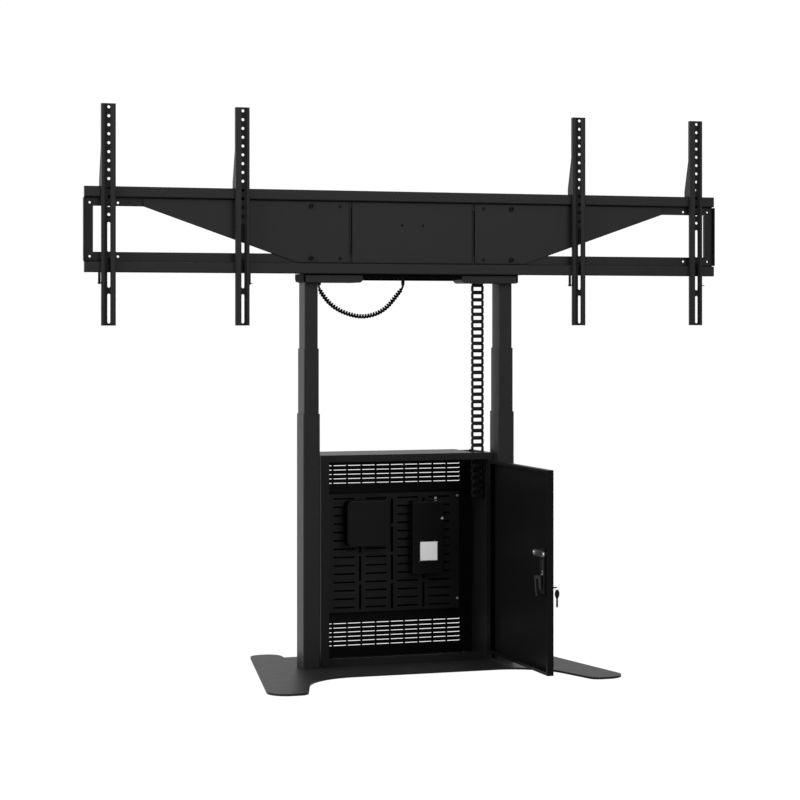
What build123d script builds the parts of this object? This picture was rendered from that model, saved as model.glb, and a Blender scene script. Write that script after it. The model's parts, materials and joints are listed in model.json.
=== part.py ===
from build123d import *
from math import cos, pi, radians, sin, sqrt
import os

# A floor-standing motorised lift for two screens side by side.
# Frame: X to the right, Y to the back, Z up, in millimetres. The origin lies on the floor, midway
# between the two columns. The lift stands part way up and the cabinet door stands open square.

os.makedirs("parts", exist_ok=True)

# One overrun serves every cut, and one small gap every pair of parts that only come close.
overrun = 5.0
fit_gap = 0.3

# Base plate with its two swept feet
plate_thickness = 6.0
bridge_front = 176.0
toe_reach = 426.0
toe_inner_root = 341.6
toe_inner_tip = 418.3
toe_outer_tip = 530.8
heel_reach = 282.0
heel_outer = 404.8
heel_inner = 317.0
bridge_back = 42.0
bridge_sweep_radius = 173.0
toe_inner_radius = 30.0
toe_outer_radius = 55.0
heel_radius = 42.0
notch_radius = 3.0

# Thin plate between the heels, and the gussets that back the columns
rear_plate_thickness = 3.0
rear_plate_reach = 228.0
gusset_offset = 6.0
gusset_length = 60.0
gusset_height = 20.0
gusset_thickness = 5.0

# Telescopic columns, three stages each
column_spacing = 600.0
outer_width = 50.0
outer_depth = 75.0
middle_width = 45.0
middle_depth = 70.0
inner_width = 40.0
inner_depth = 65.0
tube_wall = 2.0
tube_corner = 4.0
outer_top = 744.0
middle_top = 933.0
middle_length = 660.0
inner_length = 669.0

# Drive, spindles and nuts inside each column
motor_radius = 18.0
motor_height = 62.0
gear_head_width = 44.0
gear_head_depth = 62.0
gear_head_height = 22.0
lower_spindle_radius = 6.0
lower_spindle_length = 470.0
hollow_spindle_radius = 10.0
hollow_spindle_bore = 6.5
hollow_spindle_length = 400.0
nut_height = 26.0
nut_clearance = 0.3

# Cross beam, a channel open below, and the pressed shoes that clamp it to the column heads
cross_beam_length = 660.0
cross_beam_front = 57.0
cross_beam_back = 38.0
cross_beam_bottom = 1126.0
cross_beam_top = 1149.0
cross_beam_sheet = 3.0
cross_beam_chamfer = 9.0
shoe_inner = 152.0
shoe_outer = 325.0
shoe_sheet = 2.0
shoe_radius = 12.0
shoe_floor_back = 29.0
shoe_lip_back = 20.0
shoe_top_drop = 3.0

# Rails of the wide beam: a flat box along the front and a flat web behind it
rail_length = 1930.0
rail_front = 70.0
rail_depth = 15.0
rail_height = 30.0
rail_wall = 2.0
rail_corner = 3.0
web_thickness = 3.0
beam_top = 1390.0
top_web_height = 55.0
bottom_web_height = 57.5

# Face plates between the rails
face_thickness = 3.0
face_gap = 2.0
centre_half = 185.0
wing_inner = 193.0
wing_foot = 350.0
wing_end_slant = 4.0
large_screw_x = 308.0
small_screw_x = 221.0
top_hole_drop = 45.6
bottom_hole_rise = 44.7
cable_hole_x = 32.0
cable_hole_height = 1292.0
cable_hole_radius = 2.6

# End handles, measured inwards from the beam's end, and the wings that stop short of them
handle_strip_width = 25.0
handle_leg_reach = 47.0
handle_hole_inset = 16.0
web_hole_inset = 96.0
wing_end_gap = 92.0
handle_strip_inner = rail_length / 2 - handle_strip_width
handle_leg_inner = handle_strip_inner - handle_leg_reach
handle_hole_x = rail_length / 2 - handle_hole_inset
web_hole_x = rail_length / 2 - web_hole_inset
wing_outer = handle_leg_inner - wing_end_gap
handle_cheek_sheet = 3.0
handle_return_depth = 10.0
handle_hole_radius = 3.5

# Carrier frame, a folded pan behind the rails
carrier_half = 345.0
carrier_top_drop = 5.0
carrier_sheet = 3.0
carrier_depth = 32.0

# Screws through the wings, the rails' webs and the carrier frame
large_head_radius = 6.5
large_head_height = 6.0
large_shank_radius = 4.0
large_socket_radius = 3.4
large_socket_depth = 3.5
small_head_radius = 4.2
small_head_height = 3.0
small_shank_radius = 2.4
screw_clearance = 0.4

# Hanging screen brackets
bracket_end_inset = 65.0
bracket_spacing = 384.0
bracket_outer_x = rail_length / 2 - bracket_end_inset
bracket_inner_x = bracket_outer_x - bracket_spacing
bracket_face = 83.0
bracket_width = 40.0
bracket_sheet = 2.5
bracket_bend = 2.2
bracket_top = 1620.0
bracket_length = 620.0
bracket_head_depth = 16.0
hook_taper_top = 1500.0
hook_rise = 18.0
hook_drop = 18.0
hook_back = 40.0
hook_clearance = 0.5
hole_pitch = 25.0
hole_count = 13
first_hole_drop = 10.0
screen_hole_radius = 4.25
slot_length = 83.0
first_slot_drop = 331.0
slot_pitch = 100.0
slot_count = 3

# Lock tab and screw under the bottom rail
tab_reach = 8.0
tab_front_set = 3.0
tab_depth = 20.0
tab_drop = 30.0
lock_screw_radius = 3.0
lock_screw_offset = 23.6
lock_screw_stub = 3.0
lock_screw_line = 65.0
lock_nut_radius = 4.2
lock_nut_height = 4.0

# Cabinet
cabinet_column_gap = 11.0
cabinet_front = 11.0
cabinet_rear = 183.0
cabinet_top = 621.5
cabinet_sheet = 1.5
left_stile_width = 24.0
right_stile_width = 12.5
lip_height = 20.0
bottom_rail_height = 22.0
return_depth = 14.0
notch_left = 215.0
notch_front = 30.0

# Back panel and its vents
back_panel_front = 160.0
vent_length = 39.0
vent_height = 4.5
vent_column_pitch = 45.0
vent_columns = 10
vent_row_pitch = 13.15
top_vent_rows = 5
bottom_vent_rows = 6
top_vent_height = 581.1
bottom_vent_height = 42.2

# Perforated mounting plate on spacers
mount_plate_front = 140.0
mount_plate_half = 214.0
mount_plate_bottom = 142.0
mount_plate_top = 496.0
mount_slot_length = 66.0
mount_slot_height = 5.0
mount_slot_pitch = 100.0
mount_slot_columns = 4
mount_row_pitch = 25.0
mount_rows = 14
mount_top_row = 481.5
upright_slot_length = 75.0
upright_slot_width = 7.0
upright_slot_pitch = 85.0
upright_slot_rows = 4
upright_slot_columns = 3
upright_bottom = 149.0
spacer_radius = 5.0
plate_screw_x = 208.0
plate_screw_top = 483.0
plate_screw_bottom = 172.0

# Equipment boxes on the mounting plate
media_left = -152.0
media_right = -16.0
media_bottom = 341.0
media_top = 478.0
box_depth = 40.0
media_radius = 16.0
control_left = 53.0
control_right = 152.0
control_bottom = 252.0
control_top = 471.0
control_radius = 4.0
box_edge_radius = 2.5
port_depth = 3.0
port_width = 9.0
port_heights = (372.0, 396.0, 420.0, 444.0)
port_height = 14.0

# Small bright pan-head screws in the cabinet
pan_head_radius = 4.0
pan_head_height = 2.4
spare_screw_x = 138.0
spare_screw_height = 477.0
box_screw_inset = 6.0
box_screw_height = 419.0
floor_screw_places = ((223.0, 120.0), (236.0, 92.0))

# Door, closed size and pivot
pivot_from_side = 6.0
pivot_behind_front = 6.5
door_side_gap = 2.0
door_hinge_set = 9.6
door_end_gap = 2.0
door_thickness = 18.0
door_sheet = 1.5
door_return = 9.0
door_hinge_return = 30.0
door_hole_radius = 1.8
door_hole_count = 11
door_hole_pitch = 50.1
door_hole_inset = 21.4
door_hole_bottom = 42.0

# Hinges in the right stile
hinge_heights = (110.0, 515.0)
barrel_radius = 4.2
door_barrel_half = 8.0
fixed_barrel_length = 11.7
hinge_pin_radius = 2.0
pin_clearance = 0.1
leaf_sheet = 1.5
leaf_neck = 2.0
leaf_front_set = 4.0
leaf_back_set = 8.0
stile_notch_half = 9.0

# Swing handle, its housing and clamp
handle_axis_y = -440.0
spindle_height = 364.3
lock_height = 267.0
housing_half = 17.0
housing_bottom = 250.0
housing_top = 378.0
housing_depth = 10.0
housing_rim = 4.0
housing_rim_side = 2.5
housing_rim_proud = 2.0
grip_gap = 0.3
grip_thickness = 8.0
grip_hub_radius = 11.0
grip_end_radius = 9.0
grip_length = 72.3
grip_edge_radius = 2.0
spindle_radius = 4.0
spindle_clearance = 0.5
clamp_sheet = 2.0
clamp_width = 9.0
clamp_centre_y = -450.0
clamp_top = 349.0
clamp_bottom = 304.0
clamp_screw_pitch = 8.0
clamp_screw_radius = 2.8
clamp_screw_height = 2.0
clamp_screw_mid = 310.0
clamp_screw_y = -447.0

# Rotor on the inner end of the spindle
rotor_inner_x = 244.5
rotor_sheet = 2.5
rotor_half = 35.5
rotor_end_radius = 9.0
rotor_hub_radius = 10.0
rotor_pin_radius = 6.0
rotor_pin_height = 3.5
rotor_pin_round = 1.2

# Lock cylinder, lever and keys
plug_radius = 5.0
plug_clearance = 0.2
plug_proud = 1.5
lever_inner_x = 247.7
lever_sheet = 2.5
lever_hub_radius = 7.0
lever_band = 9.0
lever_tip_back = 6.0
lever_tip_rise = 31.6
lever_elbow_reach = 40.0
lever_elbow_rise = 26.6
lever_foot_reach = 28.0
lever_foot_drop = 24.3
key_sheet = 2.2
key_neck_width = 6.0
key_bow_radius = 9.0
key_bow_x = 290.0
key_hole_shift = 3.5
key_hole_radius = 3.2
ring_radius = 6.5
ring_wire_radius = 0.7
ring_drop = 3.0
ring_inset = 0.5
spare_hang_gap = 1.1
spare_bow_width = 20.0
spare_bow_height = 26.4
spare_hole_radius = 3.2
spare_hole_drop = 5.0
spare_blade_width = 7.0
spare_blade_length = 23.6
spare_sheet = 1.8
spare_turn = 40.0

# Cable spine
spine_left = 219.8
spine_front = 40.0
spine_width = 39.0
spine_depth = 14.0
spine_count = 30
spine_pitch = 21.8
spine_rung_height = 8.0
spine_wall = 2.5
spine_corner = 3.0
spine_bulge = 2.2
spine_side_sheet = 2.2
spine_side_depth = 8.0
spine_bracket_sheet = 2.0

# Coiled cord: wire, curl and glands
wire_radius = 1.8
curl_radius = 4.2
curl_count = 38
curl_fade = 2.0
left_gland_radius = 7.0
right_gland_radius = 5.5
gland_length = 7.0
least_cord_gap = 0.4
cord_route = (
    (-268.5, 1117.0),
    (-268.5, 1109.0),
    (-256.0, 1087.0),
    (-229.0, 1057.0),
    (-190.0, 1036.0),
    (-140.0, 1024.0),
    (-92.0, 1033.0),
    (-58.0, 1055.0),
    (-31.0, 1088.0),
    (-11.2, 1112.0),
    (-11.2, 1117.0),
)

# Places worked out from the sizes above
column_x = column_spacing / 2
middle_bottom = middle_top - middle_length
inner_top = cross_beam_top - cross_beam_sheet
inner_bottom = inner_top - inner_length
motor_top = plate_thickness + motor_height
drive_top = motor_top + gear_head_height
shoe_bottom = cross_beam_bottom - shoe_sheet
shoe_front = cross_beam_front + shoe_sheet
beam_bottom = cross_beam_top
web_front = rail_front - rail_depth
web_back = web_front - web_thickness
face_front = web_front + face_thickness
top_rail_bottom = beam_top - rail_height
bottom_rail_top = beam_bottom + rail_height
face_top = top_rail_bottom - face_gap
face_bottom = bottom_rail_top + face_gap
top_web_bottom = beam_top - top_web_height
bottom_web_top = beam_bottom + bottom_web_height
top_hole_height = beam_top - top_hole_drop
bottom_hole_height = beam_bottom + bottom_hole_rise
cabinet_half = column_x - outer_width / 2 - cabinet_column_gap
opening_left = -cabinet_half + left_stile_width
opening_right = cabinet_half - right_stile_width
opening_top = cabinet_top - lip_height
opening_bottom = plate_thickness + bottom_rail_height
pivot_x = cabinet_half - pivot_from_side
pivot_y = pivot_behind_front - cabinet_front
door_width = pivot_x - door_hinge_set - (opening_left + door_side_gap)
door_top = opening_top - door_end_gap
door_bottom = opening_bottom + door_end_gap
door_height = door_top - door_bottom
door_mid_z = (door_top + door_bottom) / 2
door_outer_x = pivot_x + pivot_behind_front
door_inner_x = door_outer_x - door_thickness
door_hinge_y = pivot_y - door_hinge_set
door_free_y = door_hinge_y - door_width
door_mid_y = (door_hinge_y + door_free_y) / 2
housing_inner_x = door_outer_x - housing_depth
rim_outer_x = door_outer_x + housing_rim_proud
spine_x = spine_left + spine_width / 2
spine_y = spine_front + spine_depth / 2


def front_plane(y):
    """The sketch plane at depth y that faces the front: its own x and y run along X and Z."""
    return Plane.XZ.offset(-y)


def side_plane(x):
    """The sketch plane at place x that faces +X: its own x and y run along Y and Z."""
    return Plane.YZ.offset(x)


# Base plate: half an outline round the right foot, mirrored to the left
with BuildPart() as base_plate:
    with BuildSketch():
        with BuildLine():
            FilletPolyline(
                (0, -bridge_front),
                (toe_inner_root, -bridge_front),
                (toe_inner_tip, -toe_reach),
                (toe_outer_tip, -toe_reach),
                (heel_outer, heel_reach),
                (heel_inner, heel_reach),
                (heel_inner, bridge_back),
                (0, bridge_back),
                radius=[
                    bridge_sweep_radius,
                    toe_inner_radius,
                    toe_outer_radius,
                    heel_radius,
                    heel_radius,
                    notch_radius,
                ],
            )
            mirror(about=Plane.YZ)
        make_face()
    extrude(amount=plate_thickness)
base_plate.part.label = "base_plate"
export_step(base_plate.part, "parts/base_plate.step")

# Rear plate on the floor, with a low welded gusset behind each column
with BuildPart() as rear_plate:
    rear_plate_front = bridge_back + fit_gap
    with BuildSketch():
        with Locations((0, (rear_plate_front + rear_plate_reach) / 2)):
            Rectangle(2 * (heel_inner - notch_radius - fit_gap), rear_plate_reach - rear_plate_front)
    extrude(amount=rear_plate_thickness)
    for side in (-1, 1):
        gusset_mid = side * (column_x + gusset_offset)
        with BuildSketch(side_plane(gusset_mid - gusset_thickness / 2)):
            with BuildLine():
                Polyline(
                    (outer_depth / 2 + fit_gap, plate_thickness),
                    (outer_depth / 2 + fit_gap, plate_thickness + gusset_height),
                    (outer_depth / 2 + gusset_length, rear_plate_thickness),
                    (rear_plate_front, rear_plate_thickness),
                    (rear_plate_front, plate_thickness),
                    close=True,
                )
            make_face()
        extrude(amount=gusset_thickness)
rear_plate.part.label = "rear_plate"
export_step(rear_plate.part, "parts/rear_plate.step")


def column_tube(label, x, width, depth, bottom, top):
    """One stage of a column: a drawn rectangular tube with rounded corners."""
    with BuildPart() as tube:
        with BuildSketch(Plane.XY.offset(bottom)):
            with Locations((x, 0)):
                RectangleRounded(width, depth, tube_corner)
                RectangleRounded(
                    width - 2 * tube_wall, depth - 2 * tube_wall, tube_corner - tube_wall, mode=Mode.SUBTRACT
                )
        extrude(amount=top - bottom)
    tube.part.label = label
    export_step(tube.part, f"parts/{label}.step")


def guide_nut(label, places, width, depth, bottom, bore):
    """Plastic blocks that close a tube's lower end and run on the spindle inside."""
    with BuildPart() as nut:
        with BuildSketch(Plane.XY.offset(bottom)):
            with Locations([(x, 0) for x in places]):
                RectangleRounded(width - 2 * tube_wall, depth - 2 * tube_wall, tube_corner - tube_wall)
            with Locations([(x, 0) for x in places]):
                Circle(bore, mode=Mode.SUBTRACT)
        extrude(amount=nut_height)
    nut.part.label = label
    export_step(nut.part, f"parts/{label}.step")


for side, side_name in ((-1, "left"), (1, "right")):
    x = side * column_x
    column_tube(f"{side_name}_outer_tube", x, outer_width, outer_depth, plate_thickness, outer_top)
    column_tube(f"{side_name}_mid_tube", x, middle_width, middle_depth, middle_bottom, middle_top)
    column_tube(f"{side_name}_inner_tube", x, inner_width, inner_depth, inner_bottom, inner_top)
    guide_nut(
        f"{side_name}_mid_guide",
        [x],
        middle_width,
        middle_depth,
        middle_bottom,
        lower_spindle_radius + nut_clearance,
    )
    with BuildPart() as hollow_spindle:
        with BuildSketch(Plane.XY.offset(middle_bottom + nut_height)):
            with Locations((x, 0)):
                Circle(hollow_spindle_radius)
                Circle(hollow_spindle_bore, mode=Mode.SUBTRACT)
        extrude(amount=hollow_spindle_length)
    hollow_spindle.part.label = f"{side_name}_hollow_spindle"
    export_step(hollow_spindle.part, f"parts/{side_name}_hollow_spindle.step")

guide_nut(
    "inner_nuts",
    [-column_x, column_x],
    inner_width,
    inner_depth,
    inner_bottom,
    hollow_spindle_radius + nut_clearance,
)

with BuildPart() as column_drives:
    with BuildSketch(Plane.XY.offset(plate_thickness)):
        with Locations((-column_x, 0), (column_x, 0)):
            Circle(motor_radius)
    extrude(amount=motor_height)
    with BuildSketch(Plane.XY.offset(motor_top)):
        with Locations((-column_x, 0), (column_x, 0)):
            RectangleRounded(gear_head_width, gear_head_depth, tube_corner)
    extrude(amount=gear_head_height)
column_drives.part.label = "column_drives"
export_step(column_drives.part, "parts/column_drives.step")

with BuildPart() as lower_spindles:
    with BuildSketch(Plane.XY.offset(drive_top)):
        with Locations((-column_x, 0), (column_x, 0)):
            Circle(lower_spindle_radius)
    extrude(amount=lower_spindle_length)
lower_spindles.part.label = "lower_spindles"
export_step(lower_spindles.part, "parts/lower_spindles.step")

# Cross beam: the front wall stops above the shoes' rounded ends, the rear corner is bevelled
raised_half = shoe_inner + shoe_radius + shoe_sheet
front_wall_bottom = shoe_bottom + shoe_radius + fit_gap
with BuildPart() as cross_beam:
    with BuildSketch(side_plane(-cross_beam_length / 2)):
        with BuildLine():
            Polyline(
                (-cross_beam_front, cross_beam_bottom),
                (-cross_beam_front, cross_beam_top),
                (cross_beam_back, cross_beam_top),
                (cross_beam_back, cross_beam_bottom + cross_beam_chamfer),
                (cross_beam_back - cross_beam_chamfer, cross_beam_bottom),
                close=True,
            )
        make_face()
    extrude(amount=cross_beam_length)
    with BuildSketch(side_plane(-cross_beam_length / 2 + cross_beam_sheet)):
        with BuildLine():
            Polyline(
                (-cross_beam_front + cross_beam_sheet, cross_beam_bottom - overrun),
                (-cross_beam_front + cross_beam_sheet, inner_top),
                (cross_beam_back - cross_beam_sheet, inner_top),
                (cross_beam_back - cross_beam_sheet, cross_beam_bottom - overrun),
                close=True,
            )
        make_face()
    extrude(amount=cross_beam_length - 2 * cross_beam_sheet, mode=Mode.SUBTRACT)
    with BuildSketch(side_plane(-raised_half)):
        with Locations((-cross_beam_front, (front_wall_bottom + cross_beam_bottom - overrun) / 2)):
            Rectangle(2 * (cross_beam_sheet + fit_gap), front_wall_bottom - cross_beam_bottom + overrun)
    extrude(amount=2 * raised_half, mode=Mode.SUBTRACT)
cross_beam.part.label = "cross_beam"
export_step(cross_beam.part, "parts/cross_beam.step")

# Shoes: a cheek in front of the beam and a floor that sweeps up at its inner end
with BuildPart() as top_brackets:
    for side in (-1, 1):
        sweep_centre = side * (shoe_inner + shoe_radius)
        with BuildSketch(front_plane(-shoe_front)):
            with BuildLine():
                Line((side * shoe_outer, shoe_bottom), (sweep_centre, shoe_bottom))
                TangentArc(
                    (sweep_centre, shoe_bottom),
                    (side * shoe_inner, shoe_bottom + shoe_radius),
                    tangent=(-side, 0),
                )
                Polyline(
                    (side * shoe_inner, shoe_bottom + shoe_radius),
                    (side * shoe_inner, cross_beam_top - shoe_top_drop),
                    (side * shoe_outer, cross_beam_top - shoe_top_drop),
                    (side * shoe_outer, shoe_bottom),
                )
            make_face()
        extrude(amount=-shoe_sheet)
        with BuildSketch(front_plane(-cross_beam_front)):
            with BuildLine():
                Line((side * shoe_outer, shoe_bottom), (sweep_centre, shoe_bottom))
                TangentArc(
                    (sweep_centre, shoe_bottom),
                    (side * shoe_inner, shoe_bottom + shoe_radius),
                    tangent=(-side, 0),
                )
                Line(
                    (side * shoe_inner, shoe_bottom + shoe_radius),
                    (side * (shoe_inner + shoe_sheet), shoe_bottom + shoe_radius),
                )
                TangentArc(
                    (side * (shoe_inner + shoe_sheet), shoe_bottom + shoe_radius),
                    (sweep_centre, cross_beam_bottom),
                    tangent=(0, -overrun),
                )
                Polyline(
                    (sweep_centre, cross_beam_bottom),
                    (side * shoe_outer, cross_beam_bottom),
                    (side * shoe_outer, shoe_bottom),
                )
            make_face()
        extrude(amount=-(cross_beam_front + shoe_lip_back))
        with BuildSketch(Plane.XY.offset(shoe_bottom)):
            floor_length = shoe_outer - shoe_inner - shoe_radius
            floor_middle = (side * (shoe_outer - floor_length / 2), (shoe_floor_back - cross_beam_front) / 2)
            with Locations(floor_middle):
                Rectangle(floor_length, shoe_floor_back + cross_beam_front)
        extrude(amount=shoe_sheet)
        with BuildSketch(Plane.XY.offset(shoe_bottom)):
            with Locations((side * column_x, 0)):
                Rectangle(inner_width + 2 * fit_gap, inner_depth + 2 * fit_gap)
        extrude(amount=shoe_sheet, mode=Mode.SUBTRACT)
top_brackets.part.label = "top_brackets"
export_step(top_brackets.part, "parts/top_brackets.step")


def rail(label, box_bottom, web_bottom, web_top, hole_height):
    """A rolled rail: a closed flat box along the front and a flat web behind it."""
    box_mid = box_bottom + rail_height / 2
    with BuildPart() as body:
        with BuildSketch(side_plane(-rail_length / 2)):
            with Locations((-(rail_front + web_front) / 2, box_mid)):
                Rectangle(rail_depth, rail_height)
        extrude(amount=rail_length)
        fillet(body.edges().filter_by(Axis.X).group_by(Axis.Y)[0], rail_corner)
        with BuildSketch(side_plane(-rail_length / 2 + rail_wall)):
            with Locations((-(rail_front + web_front) / 2, box_mid)):
                Rectangle(rail_depth - 2 * rail_wall, rail_height - 2 * rail_wall)
        extrude(amount=rail_length - 2 * rail_wall, mode=Mode.SUBTRACT)
        with BuildSketch(front_plane(-web_front)):
            with Locations((0, (web_bottom + web_top) / 2)):
                Rectangle(rail_length, web_top - web_bottom)
            for side in (-1, 1):
                with Locations((side * handle_hole_x, hole_height), (side * web_hole_x, hole_height)):
                    Circle(handle_hole_radius, mode=Mode.SUBTRACT)
                with Locations((side * large_screw_x, hole_height)):
                    Circle(large_shank_radius + screw_clearance, mode=Mode.SUBTRACT)
                with Locations((side * small_screw_x, hole_height)):
                    Circle(small_shank_radius + screw_clearance, mode=Mode.SUBTRACT)
        extrude(amount=-web_thickness)
    body.part.label = label
    export_step(body.part, f"parts/{label}.step")


rail("top_rail", top_rail_bottom, top_web_bottom, beam_top, top_hole_height)
rail("bottom_rail", beam_bottom, beam_bottom, bottom_web_top, bottom_hole_height)

with BuildPart() as centre_plate:
    with BuildSketch(front_plane(-face_front)):
        with Locations((0, (face_bottom + face_top) / 2)):
            Rectangle(2 * centre_half, face_top - face_bottom)
        with Locations((-cable_hole_x, cable_hole_height), (cable_hole_x, cable_hole_height)):
            Circle(cable_hole_radius, mode=Mode.SUBTRACT)
    extrude(amount=-face_thickness)
centre_plate.part.label = "centre_plate"
export_step(centre_plate.part, "parts/centre_plate.step")


def wing_plate(label, side):
    """A tapered wing whose lower edge rises in one straight line towards the beam's end."""
    with BuildPart() as wing:
        with BuildSketch(front_plane(-face_front)):
            with BuildLine():
                Polyline(
                    (side * wing_inner, face_bottom),
                    (side * wing_foot, face_bottom),
                    (side * (wing_outer - wing_end_slant), top_web_bottom),
                    (side * wing_outer, face_top),
                    (side * wing_inner, face_top),
                    close=True,
                )
            make_face()
            for height in (top_hole_height, bottom_hole_height):
                with Locations((side * large_screw_x, height)):
                    Circle(large_shank_radius + screw_clearance, mode=Mode.SUBTRACT)
                with Locations((side * small_screw_x, height)):
                    Circle(small_shank_radius + screw_clearance, mode=Mode.SUBTRACT)
        extrude(amount=-face_thickness)
    wing.part.label = label
    export_step(wing.part, f"parts/{label}.step")


wing_plate("left_wing_plate", -1)
wing_plate("right_wing_plate", 1)


def end_handle(label, side):
    """A C-shaped grip plate with a cheek on its outer edge and a return along its window."""
    end = rail_length / 2
    window_mid = (bottom_web_top + top_web_bottom) / 2
    window_height = top_web_bottom - bottom_web_top
    with BuildPart() as handle:
        with BuildSketch(front_plane(-face_front)):
            with Locations((side * (handle_leg_inner + end) / 2, (face_bottom + face_top) / 2)):
                Rectangle(end - handle_leg_inner, face_top - face_bottom)
            with Locations((side * (handle_leg_inner + handle_strip_inner) / 2, window_mid)):
                Rectangle(handle_strip_inner - handle_leg_inner, window_height, mode=Mode.SUBTRACT)
            with Locations(
                (side * handle_hole_x, top_hole_height),
                (side * handle_hole_x, bottom_hole_height),
            ):
                Circle(handle_hole_radius, mode=Mode.SUBTRACT)
        extrude(amount=-face_thickness)
        with BuildSketch(front_plane(-rail_front)):
            with Locations((side * (end + handle_cheek_sheet / 2), (face_bottom + face_top) / 2)):
                Rectangle(handle_cheek_sheet, face_top - face_bottom)
        extrude(amount=-rail_depth)
        with BuildSketch(front_plane(-web_front)):
            with Locations((side * (handle_strip_inner + handle_cheek_sheet / 2), window_mid)):
                Rectangle(handle_cheek_sheet, window_height - 2 * fit_gap)
        extrude(amount=-handle_return_depth)
    handle.part.label = label
    export_step(handle.part, f"parts/{label}.step")


end_handle("left_end_handle", -1)
end_handle("right_end_handle", 1)

# Carrier frame: a folded pan open to the back that stands on the cross beam
carrier_top = beam_top - carrier_top_drop
carrier_height = carrier_top - beam_bottom
carrier_mid = (carrier_top + beam_bottom) / 2
with BuildPart() as carrier_frame:
    with BuildSketch(front_plane(-web_back)):
        with Locations((0, carrier_mid)):
            Rectangle(2 * carrier_half, carrier_height)
    extrude(amount=-carrier_depth)
    with BuildSketch(front_plane(-web_back + carrier_sheet)):
        with Locations((0, carrier_mid)):
            Rectangle(2 * (carrier_half - carrier_sheet), carrier_height - 2 * carrier_sheet)
    extrude(amount=-carrier_depth, mode=Mode.SUBTRACT)
    with BuildSketch(front_plane(-web_back)):
        for side in (-1, 1):
            for height in (top_hole_height, bottom_hole_height):
                with Locations((side * large_screw_x, height)):
                    Circle(large_shank_radius + screw_clearance)
                with Locations((side * small_screw_x, height)):
                    Circle(small_shank_radius + screw_clearance)
    extrude(amount=-carrier_sheet, mode=Mode.SUBTRACT)
carrier_frame.part.label = "carrier_frame"
export_step(carrier_frame.part, "parts/carrier_frame.step")

# Four socket screws and four small screws hold the wings, the rails and the carrier together
with BuildPart() as beam_screws:
    screw_places = [(s * large_screw_x, h) for s in (-1, 1) for h in (top_hole_height, bottom_hole_height)]
    small_places = [(s * small_screw_x, h) for s in (-1, 1) for h in (top_hole_height, bottom_hole_height)]
    screw_grip = face_thickness + web_thickness + carrier_sheet
    with BuildSketch(front_plane(-face_front)):
        with Locations(screw_places):
            Circle(large_head_radius)
    extrude(amount=large_head_height)
    with BuildSketch(front_plane(-face_front)):
        with Locations(screw_places):
            Circle(large_shank_radius)
    extrude(amount=-screw_grip)
    with BuildSketch(front_plane(-face_front - large_head_height)):
        with Locations(screw_places):
            RegularPolygon(large_socket_radius, side_count=6)
    extrude(amount=-large_socket_depth, mode=Mode.SUBTRACT)
    with BuildSketch(front_plane(-face_front)):
        with Locations(small_places):
            Circle(small_head_radius)
    extrude(amount=small_head_height)
    with BuildSketch(front_plane(-face_front)):
        with Locations(small_places):
            Circle(small_shank_radius)
    extrude(amount=-screw_grip)
beam_screws.part.label = "beam_screws"
export_step(beam_screws.part, "parts/beam_screws.step")

# Lock tab and screw: the screw's tip stops just under the bottom rail
bracket_bottom = bracket_top - bracket_length
tab_top = beam_bottom - tab_drop + bracket_sheet
screw_line_y = -lock_screw_line


def screen_bracket(label, x, side):
    """A hanging arm: a channel whose cheeks widen into a hook over the top rail,
    with a lock tab on one side below the bottom rail."""
    clear_of_rail = rail_front + fit_gap
    hook_inner = web_back - hook_clearance
    with BuildPart() as bracket:
        with BuildSketch(Plane.XY.offset(bracket_bottom)):
            with Locations((x, -(bracket_face + hook_back) / 2)):
                Rectangle(bracket_width, bracket_face - hook_back)
        extrude(amount=bracket_length)
        fillet(bracket.edges().filter_by(Axis.Z).group_by(Axis.Y)[0], bracket_bend)
        with BuildSketch(Plane.XY.offset(bracket_bottom)):
            with Locations((x, -(bracket_face + hook_back) / 2 + bracket_sheet)):
                Rectangle(bracket_width - 2 * bracket_sheet, bracket_face - hook_back)
        extrude(amount=bracket_length, mode=Mode.SUBTRACT)
        with BuildSketch(side_plane(x - bracket_width)):
            with BuildLine():
                Polyline(
                    (-bracket_face, bracket_bottom),
                    (-bracket_face, bracket_top),
                    (-bracket_face + bracket_head_depth, bracket_top),
                    (-bracket_face + bracket_head_depth, hook_taper_top),
                    (-hook_back, beam_top + hook_rise),
                    (-hook_back, beam_top - hook_drop),
                    (-hook_inner, beam_top - hook_drop),
                    (-hook_inner, beam_top + fit_gap),
                    (-clear_of_rail, beam_top + fit_gap),
                    (-clear_of_rail, bracket_bottom),
                    close=True,
                )
            make_face()
        extrude(amount=2 * bracket_width, mode=Mode.INTERSECT)
        with BuildSketch(front_plane(-bracket_face)):
            first_hole = bracket_top - first_hole_drop
            with Locations([(x, first_hole - hole_pitch * i) for i in range(hole_count)]):
                Circle(screen_hole_radius)
            first_slot = bracket_top - first_slot_drop - slot_length / 2
            with Locations([(x, first_slot - slot_pitch * i) for i in range(slot_count)]):
                SlotOverall(slot_length, 2 * screen_hole_radius, rotation=90)
        extrude(amount=-bracket_sheet, mode=Mode.SUBTRACT)
        with BuildSketch(Plane.XY.offset(tab_top - bracket_sheet)):
            tab_y = -bracket_face + tab_front_set + tab_depth / 2
            with Locations((x + side * (bracket_width + tab_reach) / 2, tab_y)):
                Rectangle(tab_reach, tab_depth)
            with Locations((x + side * lock_screw_offset, screw_line_y)):
                Circle(lock_screw_radius + fit_gap, mode=Mode.SUBTRACT)
        extrude(amount=bracket_sheet)
    bracket.part.label = label
    export_step(bracket.part, f"parts/{label}.step")


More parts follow.
